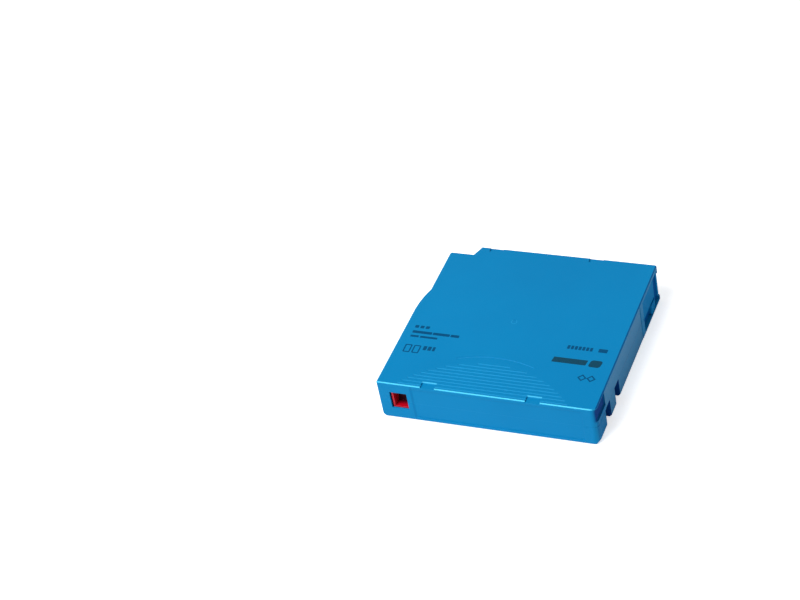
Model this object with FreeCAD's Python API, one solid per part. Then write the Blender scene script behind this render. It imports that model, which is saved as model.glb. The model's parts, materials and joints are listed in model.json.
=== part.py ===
"""Half-inch single-reel data tape cartridge, lying flat with its printed face up.

Frame: origin under the middle of the case, on the surface it lies on.
+X runs along the label face, +Y from the label face to the face that enters a drive, +Z up.
All sizes are in millimetres.
"""
import FreeCAD, Part
import math
import os

V = FreeCAD.Vector
UP = V(0, 0, 1)
os.makedirs("parts", exist_ok=True)

# ---------------------------------------------------------------- case
case_width = 105.4
case_depth = 102.0
case_height = 21.5
side_wall = 1.5
floor_thickness = 2.0
roof_thickness = 2.0
parting_height = 10.5
corner_radius = 1.0
front_right_radius = 3.0
inner_corner_radius = 1.0
top_bevel = 0.5
bottom_bevel = 0.6
side_bottom_bevel = 1.3
end_bottom_bevel = 2.2
seam_bevel = 0.15
running_gap = 0.3

# the corner that is cut back, so that the case enters a drive one way only
guide_inset = 2.7
guide_depth = 6.2
guide_length = 14.7
guide_slant = 2.4
guide_corner_radius = 1.2

# ---------------------------------------------------------------- reel
reel_y = 0.0
reel_end_gap = 1.0
reel_side_gap = 0.6
reel_roof_gap = 1.51
door_bay = 6.3
lower_flange_thickness = 1.3
upper_flange_thickness = 1.2
tape_side_play = 0.12
tape_rim_gap = 1.65
hub_radius = 22.0
hub_bore_radius = 19.6
web_thickness = 2.8
reel_floor_gap = 0.6
reel_rest_height = 0.4
reel_rest_width = 2.0
window_radius = 18.0
rim_bevel = 0.3
spigot_wall = 1.2
spigot_depth = 1.0

# ---------------------------------------------------------------- toothed rings
tooth_count = 60
drive_ring_inner = 14.0
drive_ring_outer = 17.5
drive_ring_drop = 1.0
drive_tooth_height = 1.0
tooth_root_width = 1.1
tooth_tip_width = 0.35
tooth_end_margin = 0.25
brake_ring_inner = 17.3
brake_ring_outer = 19.1
brake_tooth_height = 1.1
brake_tooth_root_width = 1.25
mesh_end_gap = 0.2
tooth_tuck = 0.3

# ---------------------------------------------------------------- steel ring under the reel
plate_inner_radius = 5.0
plate_thickness = 0.9
plate_rim_gap = 0.4

# ---------------------------------------------------------------- brake and release pad
brake_travel = 1.6
brake_disc_thickness = 2.0
brake_disc_gap = 0.4
sleeve_bore_radius = 4.3
sleeve_wall = 1.9
sleeve_roof_gap = 1.3
key_count = 3
key_width = 1.5
key_reach = 1.3
post_gap = 0.4
post_end_gap = 0.7
brake_nose_radius = 2.0
brake_nose_height = 0.1
pad_thickness = 0.9
pad_hub_radius = 5.0
leg_count = 3
leg_radius = 1.4
leg_circle_radius = 15.4
leg_hole_gap = 0.4
leg_tip_height = 1.0
legs_first_angle = 90.0
teeth_left_out_each_side = 1
brake_spring_radius = 8.6
brake_spring_wire = 0.9
brake_spring_turns = 5
spring_seat_height = 1.2
spring_seat_wall = 0.8

# ---------------------------------------------------------------- screws
screw_setbacks = [(-1, 9.7, -1, 13.0), (1, 10.2, -1, 12.5), (-1, 9.2, 1, 12.0), (1, 15.2, 1, 7.0)]
screw_shank_radius = 1.25
screw_head_radius = 2.1
screw_head_height = 1.3
screw_length = 11.0
screw_recess_depth = 4.0
screw_recess_radius = 2.5
screw_boss_radius = 3.4
screw_pillar_radius = 2.7
shank_hole_gap = 0.25
screw_hole_spare = 0.5
driver_slot_reach = 1.26
driver_slot_width = 0.6
driver_slot_depth = 0.7

# ---------------------------------------------------------------- datum holes for the drive
datum_spacing = 66.6
datum_setback = 10.5
datum_hole_radius = 2.0
datum_hole_depth = 5.0
datum_slot_length = 6.0
datum_boss_wall = 1.2
datum_boss_roof = 1.2

# ---------------------------------------------------------------- gripper notches in both sides
notch_depth = 4.2
notch_wall = 0.9
notch_roof = 1.0
notch_setbacks = [11.8, 26.7]
notch_lengths = [7.3, 6.3]

# ---------------------------------------------------------------- reel guard ribs in the corners
guard_gap = 0.8
guard_wall = 1.0
guard_sectors = [(213.0, 250.0), (290.0, 338.0), (112.0, 160.0)]

# ---------------------------------------------------------------- label face and its slider
label_left_setback = 16.3
label_right_setback = 6.7
label_bottom = 1.9
label_top_margin = 2.1
label_recess = 0.25
label_ramp = 1.4
window_setback = 5.7
window_width = 8.5
window_bottom = 6.3
window_height = 9.6
slider_travel = 4.5
slider_wall = 0.8
slider_gap = 0.15
slider_end_gap = 0.25
slider_depth = 5.75
slider_margin = 0.7
slider_cover = 0.5
pocket_depth = 4.75
pocket_frame = 0.9
pocket_floor_margin = 0.6
guide_rib = 1.0
shelf_rib_end_margin = 0.8

# ---------------------------------------------------------------- top face
stack_notch_width = 7.0
stack_notch_spacing = 50.6
stack_notch_front = 4.1
stack_notch_back = 3.0
stack_notch_drop = 0.7
groove_count = 10
groove_pitch = 2.08
groove_first_setback = 1.4
groove_mouth_width = 0.7
groove_floor_width = 0.2
groove_depth = 0.25
groove_end_margin = 4.0
grip_middle_x = -1.8
grip_arc_radius = 53.0
grip_arc_rise = 20.7
brow_radius = 52.5
brow_rise = 25.4
brow_width = 0.6
brow_half_angle = 21.0
gate_radius = 0.8
gate_depth = 0.15
gate_y = 1.0

# ---------------------------------------------------------------- sides
lip_height = 1.1
side_relief = 0.2
relief_setback = 13.2
relief_end_setback = 30.0
inset_depth = 0.8
inset_setback = 0.6
inset_bottom = 13.5
inset_top_margin = 0.9

# ---------------------------------------------------------------- door
door_travel = 12.0
door_skin = 0.6
door_thickness = 1.2
door_gap = 0.15
door_edge_gap = 0.3
door_end_gap = 0.2
door_tip_gap = 0.1
door_tip_bevel = 0.3
opening_length = 26.3
door_overlap = 2.7
channel_depth = 1.0
channel_height = 5.75
nose_length = 6.8
nose_pad_length = 6.2
nose_pad_thickness = 1.6
catch_depth = 0.7
catch_ramp = 2.2
catch_lip = 1.3
lug_setback = 14.0
lug_length = 6.0
lug_height = 4.9
lug_proud = 0.55
lug_bevel = 0.4
corner_gap_bottom = 3.2
corner_gap_drop = 4.1
rail_width = 0.7
rail_height = 1.2
pocket_end_gap = 0.4
door_spring_radius = 1.5
door_spring_wire = 0.5
door_spring_turns = 13
door_spring_bay = 2.3
door_spring_length = 31.0
spring_stop_thickness = 1.2
spring_stop_margin = 1.0
spring_peg_radius = 0.9
spring_peg_length = 12.0
spring_block_length = 2.5
spring_block_margin = 0.3

# ---------------------------------------------------------------- leader pin and the tape's free end
pin_side_setback = 6.2
pin_end_setback = 9.5
pin_end_gap = 0.3
pin_head_radius = 2.3
pin_head_height = 0.7
pin_neck_radius = 1.25
pin_neck_height = 0.5
pin_collar_radius = 2.3
pin_collar_height = 0.4
pin_shaft_radius = 1.5
clip_wall = 0.7
clip_gap_angle = 70.0
clip_gap_ahead = 56.0
clip_end_gap = 0.35
cradle_gap = 0.3
cradle_wall = 1.0
cradle_height = 1.6
tape_thickness = 0.1
tape_to_pack_gap = 0.3
retainer_thickness = 0.35
retainer_width = 3.0
retainer_wall_gap = 0.1
retainer_arm_gap = 0.1

# ---------------------------------------------------------------- cartridge memory
board_side_setback = 21.7
board_length = 17.0
board_width = 8.6
board_thickness = 0.8
board_foot_setback = 8.1
board_foot_gap = 0.4
board_rib_offsets = [2.5, 13.5]
chip_length = 5.0
chip_width = 4.0
chip_height = 0.9
chip_corner = 0.4

# ---------------------------------------------------------------- sizes worked out from those above
half_width = case_width / 2
half_depth = case_depth / 2
roof_z = case_height - roof_thickness
wall_inner_x = half_width - side_wall
inner_back_y = half_depth - side_wall
inner_front_y = -half_depth + side_wall

# the reel takes the room that the walls, its gaps and the door's bay beside it leave
reel_room_along = half_depth - side_wall - reel_end_gap
reel_room_across = (case_width - side_wall - reel_side_gap - door_bay) / 2
flange_radius = min(reel_room_along, reel_room_across)
reel_x = -half_width + side_wall + reel_side_gap + flange_radius
reel_axis = V(reel_x, reel_y, 0)
tape_stack_radius = flange_radius - tape_rim_gap

flange_bottom = floor_thickness + reel_floor_gap
flange_top = flange_bottom + lower_flange_thickness
upper_flange_top = roof_z - reel_roof_gap
upper_flange_bottom = upper_flange_top - upper_flange_thickness
tape_bottom = flange_top + tape_side_play
tape_top = upper_flange_bottom - tape_side_play
tape_width = tape_top - tape_bottom
web_top = flange_bottom + web_thickness
drive_root_z = flange_bottom - drive_ring_drop
tooth_pitch = 360.0 / tooth_count
leg_angles = [legs_first_angle + i * 360.0 / leg_count for i in range(leg_count)]

disc_bottom = web_top + brake_tooth_height + mesh_end_gap
disc_top = disc_bottom + brake_disc_thickness
disc_radius = hub_bore_radius - brake_disc_gap
sleeve_radius = sleeve_bore_radius + sleeve_wall
sleeve_top = roof_z - sleeve_roof_gap - brake_travel
post_radius = sleeve_bore_radius - post_gap
post_bottom = disc_top + brake_travel + post_end_gap

guide_x = -half_width + guide_inset
guide_y = half_depth - guide_depth
guide_end_x = -half_width + guide_length
guide_arc_radius = reel_x + half_width
screw_places = [(x_side * (half_width - x_setback), y_side * (half_depth - y_setback))
                for x_side, x_setback, y_side, y_setback in screw_setbacks]
datum_y = half_depth - datum_setback
notch_spans = [(-half_depth + setback, -half_depth + setback + length)
               for setback, length in zip(notch_setbacks, notch_lengths)]
relief_start = -half_depth + relief_setback
relief_end = half_depth - relief_end_setback

label_left = -half_width + label_left_setback
label_right = half_width - label_right_setback
window_left = -half_width + window_setback
window_right = window_left + window_width
window_top = window_bottom + window_height
slider_front = -half_depth + slider_wall + slider_gap
slider_back = slider_front + slider_depth
slider_left = -wall_inner_x + slider_end_gap + slider_travel
slider_right = window_right + slider_travel + slider_cover
slider_bottom = window_bottom - slider_margin
slider_top = window_top + slider_margin

door_outer_x = half_width - door_skin - door_gap
door_inner_x = door_outer_x - door_thickness
channel_x = door_outer_x - channel_depth
foot_inner_x = channel_x - door_thickness
nose_inner_x = door_inner_x - nose_pad_thickness
channel_top = floor_thickness + channel_height
opening_start = half_depth - opening_length
door_start = opening_start - door_overlap
door_end = inner_back_y - door_end_gap
door_tip = half_depth - door_tip_gap
nose_start = door_tip - nose_length
nose_pad_start = door_tip - nose_pad_length
pocket_start = door_start - door_travel - pocket_end_gap
corner_gap_top = case_height - corner_gap_drop
corner_gap_x = nose_inner_x - running_gap
rail_end = nose_pad_start - nose_pad_thickness - door_travel - running_gap
door_spring_x = wall_inner_x - door_spring_bay
door_spring_z = parting_height
door_spring_reach = door_spring_radius + door_spring_wire / 2
spring_stop_y = door_start - door_spring_length

pin_x = half_width - pin_side_setback
pin_y = half_depth - pin_end_setback
pin_bottom = floor_thickness + pin_end_gap
pin_top = roof_z - pin_end_gap
shaft_bottom = pin_bottom + pin_head_height + pin_neck_height + pin_collar_height
shaft_top = pin_top - pin_head_height - pin_neck_height - pin_collar_height
clip_radius = pin_shaft_radius + clip_wall

board_left = half_width - board_side_setback
board_foot_y = -half_depth + board_foot_setback


# ---------------------------------------------------------------- helpers
def box(x0, x1, y0, y1, z0, z1):
    """Block between two corners."""
    return Part.makeBox(x1 - x0, y1 - y0, z1 - z0, V(x0, y0, z0))


def rod(radius, x, y, z0, z1):
    """Upright cylinder."""
    return Part.makeCylinder(radius, z1 - z0, V(x, y, z0), UP)


def tube(inner, outer, x, y, z0, z1):
    """Upright ring."""
    return rod(outer, x, y, z0, z1).cut(rod(inner, x, y, z0 - 1, z1 + 1))


def prism(points, direction):
    """Polygon swept along a direction."""
    corners = [V(*p) for p in points]
    wire = Part.makePolygon(corners + corners[:1])
    return Part.Face(wire).extrude(direction)


def turned(profile, x, y):
    """Solid of revolution about an upright axis, from (radius, height) points."""
    corners = [V(x + r, y, z) for r, z in profile]
    face = Part.Face(Part.makePolygon(corners + corners[:1]))
    return face.revolve(V(x, y, 0), UP, 360)


def rounded_wire(corners, z):
    """Closed wire through (x, y, radius) corners. A fourth item is the middle of an arc to the next."""
    entry = []
    leave = []
    edges = []
    for i, corner in enumerate(corners):
        here = V(corner[0], corner[1], z)
        radius = corner[2]
        if radius == 0:
            entry.append(here)
            leave.append(here)
            continue
        last = corners[i - 1]
        following = corners[(i + 1) % len(corners)]
        back = (V(last[0], last[1], z) - here).normalize()
        ahead = (V(following[0], following[1], z) - here).normalize()
        half = back.getAngle(ahead) / 2
        inward = (back + ahead).normalize()
        entry.append(here + back * (radius / math.tan(half)))
        leave.append(here + ahead * (radius / math.tan(half)))
        middle = here + inward * (radius / math.sin(half) - radius)
        edges.append(Part.Arc(entry[i], middle, leave[i]).toShape())
    for i, corner in enumerate(corners):
        start = leave[i]
        end = entry[(i + 1) % len(corners)]
        if len(corner) > 3:
            edges.append(Part.Arc(start, V(corner[3][0], corner[3][1], z), end).toShape())
        else:
            edges.append(Part.LineSegment(start, end).toShape())
    return Part.Wire(Part.__sortEdges__(edges))


def case_outline(inset, z):
    """Outline of the case seen from above, drawn in from the outer surface by inset."""
    radius = corner_radius
    large_radius = front_right_radius
    if inset > 0:
        radius = max(corner_radius - inset, inner_corner_radius)
        large_radius = max(front_right_radius - inset, inner_corner_radius)
    left = -half_width + inset
    right = half_width - inset
    front = -half_depth + inset
    back = half_depth - inset
    arc_radius = guide_arc_radius - inset
    wall_x = guide_x + inset
    arc_end_y = math.sqrt(arc_radius ** 2 - (wall_x - reel_x) ** 2)
    middle_angle = math.pi - math.asin(arc_end_y / arc_radius) / 2
    arc_middle = (reel_x + arc_radius * math.cos(middle_angle), arc_radius * math.sin(middle_angle))
    slant_length = math.hypot(guide_slant, guide_depth)
    slant_shift = inset * (slant_length - guide_slant) / guide_depth
    slant_low = guide_end_x + slant_shift
    slant_high = slant_low + guide_slant
    return rounded_wire([
        (left, front, radius),
        (right, front, large_radius),
        (right, back, radius),
        (slant_high, back, 0),
        (slant_low, guide_y - inset, 0),
        (wall_x, guide_y - inset, guide_corner_radius),
        (wall_x, arc_end_y, 0, arc_middle),
        (left, reel_y, 0),
    ], z)


def case_block(inset, z0, z1):
    """The case's outline as a solid between two heights."""
    return Part.Face(case_outline(inset, z0)).extrude(V(0, 0, z1 - z0))


def edges_at(shape, z):
    """Edges of a block that lie in one level plane."""
    flat = []
    for edge in shape.Edges:
        ends = edge.BoundBox
        if abs(ends.ZMin - z) < 1e-6 and abs(ends.ZMax - z) < 1e-6:
            flat.append(edge)
    return flat


def side_bevel(side, size, y0, y1):
    """Wedge that takes the bottom edge off one side of the case."""
    x = side * half_width
    return prism([
        (x - side * (size + 1), y0, -1),
        (x + side, y0, size + 1),
        (x + side, y0, -1),
    ], V(0, y1 - y0, 0))


def around_reel(shape, angle):
    """Copy of a shape turned about the reel's axis."""
    turned_copy = shape.copy()
    turned_copy.rotate(reel_axis, UP, angle)
    return turned_copy


def radial_tooth(inner, outer, root_z, tip_z, root_width, tip_width, tuck):
    """Tooth of a face gear: a bar of tapered section that points away from the axis.

    tuck is how far its foot goes into the ring that carries it.
    """
    into = tuck if root_z > tip_z else -tuck
    return prism([
        (reel_x + inner, reel_y - root_width / 2, root_z + into),
        (reel_x + inner, reel_y - root_width / 2, root_z),
        (reel_x + inner, reel_y - tip_width / 2, tip_z),
        (reel_x + inner, reel_y + tip_width / 2, tip_z),
        (reel_x + inner, reel_y + root_width / 2, root_z),
        (reel_x + inner, reel_y + root_width / 2, root_z + into),
    ], V(outer - inner, 0, 0))


def sector(inner, outer, start, end, z0, z1):
    """Part of a ring about the reel's axis between two angles."""
    flat = Part.makeCylinder(outer, z1 - z0, V(reel_x, reel_y, z0), UP, end - start)
    flat = flat.cut(rod(inner, reel_x, reel_y, z0 - 1, z1 + 1))
    return around_reel(flat, start)


def coil(centre, direction, radius, wire_diameter, turns, length):
    """Coil spring that starts at centre and runs along direction."""
    wire_radius = wire_diameter / 2
    rise = length - wire_diameter
    helix = Part.makeHelix(rise / turns, rise, radius)
    section = Part.Wire(Part.makeCircle(wire_radius, V(radius, 0, 0), V(0, 1, 0)))
    spring = Part.Wire(helix.Edges).makePipeShell([section], True, True)
    spring.translate(V(0, 0, wire_radius))
    spring.Placement = FreeCAD.Placement(centre, FreeCAD.Rotation(UP, direction)) * spring.Placement
    return spring


# ---------------------------------------------------------------- case halves
def screw_hollow(x, y):
    """Head recess and shank hole of one screw, in the lower half."""
    hole = rod(screw_shank_radius + shank_hole_gap, x, y, -1, parting_height + 1)
    return hole.fuse(rod(screw_recess_radius, x, y, -1, screw_recess_depth))


def gripper_pocket(side, y0, y1):
    """Walls that close a gripper notch inside the case."""
    inner_x = side * (half_width - notch_depth - notch_wall)
    root_x = side * (half_width - side_wall / 2)
    cap_x = side * (wall_inner_x - running_gap)
    body = box(min(inner_x, root_x), max(inner_x, root_x), y0 - notch_wall, y1 + notch_wall,
               floor_thickness / 2, parting_height)
    cap = box(min(inner_x, cap_x), max(inner_x, cap_x), y0 - notch_wall, y1 + notch_wall,
              parting_height, parting_height + notch_roof)
    return body.fuse(cap)


def gripper_notch(side, y0, y1):
    """Space of a gripper notch, open below and to the side."""
    x0 = side * (half_width - notch_depth)
    x1 = side * (half_width + 1)
    return box(min(x0, x1), max(x0, x1), y0, y1, -1, parting_height)


def slider_guides(z0, z1, shelf_z0, shelf_z1):
    """Ribs that hold the slider in one half: a back wall, an end stop and three shelf ribs."""
    back_y = slider_back + running_gap
    stop_x = slider_right + running_gap
    root_y = inner_front_y - side_wall / 2
    ribs = box(-wall_inner_x - side_wall / 2, stop_x, back_y, back_y + guide_rib, z0, z1)
    ribs = ribs.fuse(box(stop_x, stop_x + guide_rib, root_y, back_y + guide_rib, z0, z1))
    first_x = slider_left + shelf_rib_end_margin
    last_x = slider_right - shelf_rib_end_margin - guide_rib
    for x in (first_x, (first_x + last_x) / 2, last_x):
        ribs = ribs.fuse(box(x, x + guide_rib, root_y, back_y + guide_rib, shelf_z0, shelf_z1))
    return ribs


def pin_cradle(z0, z1):
    """U-shaped seat for one head of the leader pin, open towards the door."""
    inner = pin_head_radius + cradle_gap
    outer = inner + cradle_wall
    mouth_x = pin_x + inner - cradle_wall
    seat = rod(outer, pin_x, pin_y, z0, z1)
    seat = seat.fuse(box(pin_x, mouth_x, pin_y - outer, pin_y + outer, z0, z1))
    seat = seat.cut(box(mouth_x, pin_x + outer + 1, pin_y - outer - 1, pin_y + outer + 1, z0 - 1, z1 + 1))
    hollow = rod(inner, pin_x, pin_y, z0 - 1, z1 + 1)
    hollow = hollow.fuse(box(pin_x, mouth_x + 1, pin_y - inner, pin_y + inner, z0 - 1, z1 + 1))
    arm_half = retainer_width / 2 + running_gap
    hollow = hollow.fuse(box(pin_x - arm_half, pin_x + arm_half, pin_y, pin_y + outer + 1, z0 - 1, z1 + 1))
    return seat.cut(hollow)


def label_face_cuts():
    """Label recess, with a ramp at its left end, the slider's window and the bay behind it."""
    front = -half_depth
    recess = prism([
        (label_left, front, label_bottom),
        (label_left + label_ramp, front + label_recess, label_bottom),
        (label_right, front + label_recess, label_bottom),
        (label_right, front - 1, label_bottom),
        (label_left, front - 1, label_bottom),
    ], V(0, 0, case_height - label_top_margin - label_bottom))
    window = box(window_left, window_right, front - 1, slider_front, window_bottom, window_top)
    bay = box(-wall_inner_x, slider_right + running_gap, front + slider_wall, slider_back,
              slider_bottom - running_gap, slider_top + running_gap)
    return [recess, window, bay]


def side_cuts():
    """Relief in both sides that leaves a lip under the top edge."""
    top = case_height - lip_height
    right = box(half_width - side_relief, half_width + 1, relief_start, relief_end, -1, top)
    left = box(-half_width - 1, -half_width + side_relief, relief_start, reel_y, -1, top)
    return [right, left]


def door_cuts():
    """Pocket that the door slides into, the opening that it closes, and the gap for its nose."""
    pocket = box(wall_inner_x - running_gap, door_outer_x + door_gap, pocket_start, inner_back_y,
                 floor_thickness, roof_z)
    opening = box(door_inner_x, half_width + 1, opening_start, inner_back_y, floor_thickness, roof_z)
    corner = box(corner_gap_x, half_width + 1, door_end, half_depth + 1,
                 corner_gap_bottom, corner_gap_top)
    return [pocket, opening, corner]


def guard_ribs(z0, z1):
    """Low curved walls that keep the reel centred while the cartridge is handled."""
    inner = flange_radius + guard_gap
    room = case_block(side_wall / 2, z0, z1)
    ribs = []
    for start, end in guard_sectors:
        rib = sector(inner, inner + guard_wall, start, end, z0, z1)
        ribs.append(rib.common(room))
    return ribs


def make_lower_shell():
    """Lower half of the case."""
    outer = case_block(0, 0, parting_height)
    outer = outer.makeChamfer(bottom_bevel, edges_at(outer, 0))
    outer = outer.makeChamfer(seam_bevel, edges_at(outer, parting_height))
    shell = outer.cut(case_block(side_wall, floor_thickness, parting_height + 1))

    added = guard_ribs(floor_thickness, parting_height)
    added += [rod(screw_boss_radius, x, y, floor_thickness / 2, parting_height) for x, y in screw_places]
    added.append(tube(window_radius, window_radius + reel_rest_width, reel_x, reel_y,
                      floor_thickness / 2, floor_thickness + reel_rest_height))
    datum_top = datum_hole_depth + datum_boss_roof
    datum_left = reel_x - datum_spacing / 2
    datum_right = reel_x + datum_spacing / 2
    added.append(rod(datum_hole_radius + datum_boss_wall, datum_left, datum_y,
                     floor_thickness / 2, datum_top))
    slot_half = datum_slot_length / 2 - datum_hole_radius
    slot = rod(datum_hole_radius, datum_right - slot_half, datum_y, -1, datum_hole_depth)
    slot = slot.fuse(rod(datum_hole_radius, datum_right + slot_half, datum_y, -1, datum_hole_depth))
    slot = slot.fuse(box(datum_right - slot_half, datum_right + slot_half, datum_y - datum_hole_radius,
                         datum_y + datum_hole_radius, -1, datum_hole_depth))
    wall = datum_hole_radius + datum_boss_wall
    added.append(rod(wall, datum_right - slot_half, datum_y, floor_thickness / 2, datum_top))
    added.append(rod(wall, datum_right + slot_half, datum_y, floor_thickness / 2, datum_top))
    added.append(box(datum_right - slot_half, datum_right + slot_half, datum_y - wall, datum_y + wall,
                     floor_thickness / 2, datum_top))
    for side in (-1, 1):
        for y0, y1 in notch_spans:
            added.append(gripper_pocket(side, y0, y1))
    added.append(slider_guides(floor_thickness / 2, parting_height,
                               floor_thickness / 2, slider_bottom - running_gap))
    added.append(pin_cradle(floor_thickness / 2, floor_thickness + cradle_height))
    for offset in board_rib_offsets:
        x = board_left + offset
        added.append(prism([
            (x, inner_front_y - side_wall / 2, floor_thickness / 2),
            (x, board_foot_y + floor_thickness / 2, floor_thickness / 2),
            (x, inner_front_y, floor_thickness + board_foot_y - inner_front_y),
            (x, inner_front_y - side_wall / 2, floor_thickness + board_foot_y - inner_front_y),
        ], V(guide_rib, 0, 0)))
    rail_x = foot_inner_x - running_gap
    added.append(box(rail_x - rail_width, rail_x, pocket_start, rail_end,
                     floor_thickness / 2, floor_thickness + rail_height))
    stop_x = door_spring_x - door_spring_radius - spring_stop_margin / 2
    stop_back = spring_stop_y - spring_stop_thickness
    added.append(box(stop_x, wall_inner_x + side_wall / 2, stop_back, spring_stop_y,
                     floor_thickness / 2, parting_height))
    added.append(box(stop_x, wall_inner_x - running_gap, stop_back, spring_stop_y, parting_height,
                     door_spring_z + door_spring_radius + spring_stop_margin))
    shell = shell.multiFuse(added)

    removed = [rod(window_radius, reel_x, reel_y, -1, floor_thickness + reel_rest_height + 1)]
    removed += [screw_hollow(x, y) for x, y in screw_places]
    removed.append(rod(datum_hole_radius, datum_left, datum_y, -1, datum_hole_depth))
    removed.append(slot)
    for side in (-1, 1):
        removed.append(side_bevel(side, side_bottom_bevel, -half_depth - 1, half_depth + 1))
        removed.append(side_bevel(side, end_bottom_bevel, -half_depth - 1, notch_spans[0][0]))
        for y0, y1 in notch_spans:
            removed.append(gripper_notch(side, y0, y1))
    removed += label_face_cuts()
    removed += side_cuts()
    removed += door_cuts()
    for cutter in removed:
        shell = shell.cut(cutter)
    return shell.removeSplitter()


def grip_groove(y):
    """One straight finger groove in the roof, as long as the curved grip area is wide there."""
    below_top = grip_arc_radius - (grip_arc_rise - half_depth - y)
    half = math.sqrt(grip_arc_radius ** 2 - below_top ** 2)
    half = min(half, half_width - groove_end_margin)
    top = case_height
    return prism([
        (grip_middle_x - half, y - groove_mouth_width / 2, top),
        (grip_middle_x - half, y - groove_floor_width / 2, top - groove_depth),
        (grip_middle_x - half, y + groove_floor_width / 2, top - groove_depth),
        (grip_middle_x - half, y + groove_mouth_width / 2, top),
    ], V(2 * half, 0, 0))


def brow_groove():
    """Curved groove that arches over the straight ones."""
    centre = V(grip_middle_x, brow_rise - half_depth - brow_radius, case_height - groove_depth)
    ring = Part.makeCylinder(brow_radius + brow_width / 2, 1, centre, UP, 2 * brow_half_angle)
    ring = ring.cut(Part.makeCylinder(brow_radius - brow_width / 2, 1, centre, UP))
    ring.rotate(centre, UP, 90 - brow_half_angle)
    return ring


def stack_notch(left, side, length):
    """Notch in the top edge at one end of the case, with a ramp at its inner end."""
    edge = side * half_depth
    floor_z = case_height - stack_notch_drop
    return prism([
        (left, edge + side, floor_z),
        (left, edge - side * (length - stack_notch_drop), floor_z),
        (left, edge - side * length, case_height),
        (left, edge - side * length, case_height + 1),
        (left, edge + side, case_height + 1),
    ], V(stack_notch_width, 0, 0))


def side_inset():
    """Shallow grip inset in the right side, behind its rounded front corner."""
    start = -half_depth + inset_setback
    top = case_height - inset_top_margin
    return box(half_width - inset_depth, half_width + 1, start, relief_start, inset_bottom, top)


def make_upper_shell():
    """Upper half of the case, with its inner ribs, pillars and brake post."""
    outer = case_block(0, parting_height, case_height)
    outer = outer.makeChamfer(top_bevel, edges_at(outer, case_height))
    outer = outer.makeChamfer(seam_bevel, edges_at(outer, parting_height))
    shell = outer.cut(case_block(side_wall, parting_height - 1, roof_z))

    inside_roof = roof_z + roof_thickness / 2
    added = guard_ribs(parting_height, roof_z)
    added += [rod(screw_pillar_radius, x, y, parting_height, inside_roof) for x, y in screw_places]
    post = rod(post_radius, reel_x, reel_y, post_bottom, inside_roof)
    for i in range(key_count):
        key = box(reel_x, reel_x + post_radius + key_reach, reel_y - key_width / 2,
                  reel_y + key_width / 2, post_bottom, inside_roof)
        post = post.fuse(around_reel(key, legs_first_angle + i * 360.0 / key_count))
    added.append(post)
    seat_radius = brake_spring_radius + brake_spring_wire / 2 + running_gap
    added.append(tube(seat_radius, seat_radius + spring_seat_wall, reel_x, reel_y,
                      roof_z - spring_seat_height, inside_roof))
    added.append(slider_guides(parting_height, inside_roof, slider_top + running_gap, inside_roof))
    added.append(pin_cradle(roof_z - cradle_height, inside_roof))
    rail_x = door_inner_x - running_gap
    added.append(box(rail_x - rail_width, rail_x, pocket_start, rail_end,
                     roof_z - rail_height, inside_roof))
    board_top = floor_thickness + (board_foot_gap + board_width + board_thickness) / math.sqrt(2)
    hold_x = board_left + board_length / 2
    added.append(box(hold_x - guide_rib / 2, hold_x + guide_rib / 2, inner_front_y + running_gap,
                     inner_front_y + 2 * guide_rib, board_top + running_gap, inside_roof))
    shell = shell.multiFuse(added)

    hole_end = screw_recess_depth + screw_length + screw_hole_spare
    removed = [rod(screw_shank_radius, x, y, parting_height - 1, hole_end) for x, y in screw_places]
    for side in (-1, 1):
        left = reel_x + (side * stack_notch_spacing - stack_notch_width) / 2
        removed.append(stack_notch(left, -1, stack_notch_front))
        removed.append(stack_notch(left, 1, stack_notch_back))
    for i in range(groove_count):
        removed.append(grip_groove(-half_depth + groove_first_setback + i * groove_pitch))
    removed.append(brow_groove())
    removed.append(rod(gate_radius, reel_x, gate_y, case_height - gate_depth, case_height + 1))
    removed.append(side_inset())
    removed += label_face_cuts()
    removed += side_cuts()
    removed += door_cuts()
    for cutter in removed:
        shell = shell.cut(cutter)
    return shell.removeSplitter()


def make_case_screws():
    """The four screws, each with a cross recess in its head."""
    screws = []
    head_bottom = screw_recess_depth - screw_head_height
    for x, y in screw_places:
        screw = rod(screw_head_radius, x, y, head_bottom, screw_recess_depth)
        screw = screw.makeChamfer(driver_slot_width / 2, edges_at(screw, head_bottom))
        screw = screw.fuse(rod(screw_shank_radius, x, y, screw_recess_depth,
                               screw_recess_depth + screw_length))
        reach = driver_slot_reach
        half = driver_slot_width / 2
        slot_top = head_bottom + driver_slot_depth
        screw = screw.cut(box(x - reach, x + reach, y - half, y + half, head_bottom - 1, slot_top))
        screw = screw.cut(box(x - half, x + half, y - reach, y + reach, head_bottom - 1, slot_top))
        screws.append(screw.removeSplitter())
    return Part.makeCompound(screws)


# ---------------------------------------------------------------- write-protect slider
def make_write_protect_slider():
    """Slider with the pocket that a fingertip or pen enters through the window."""
    slider = box(slider_left, slider_right, slider_front, slider_back, slider_bottom, slider_top)
    pocket_left = slider_left + pocket_frame
    pocket_right = window_right - pocket_frame / 2
    pocket = box(pocket_left, pocket_right, slider_front - 1, slider_front + pocket_depth,
                 window_bottom + pocket_floor_margin, window_top - pocket_floor_margin)
    slider = slider.cut(pocket)
    relief_left = pocket_right + pocket_frame
    relief = box(relief_left, slider_right - pocket_frame, slider_front + pocket_frame,
                 slider_back + 1, slider_bottom + pocket_frame, slider_top - pocket_frame)
    return slider.cut(relief)


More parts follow.
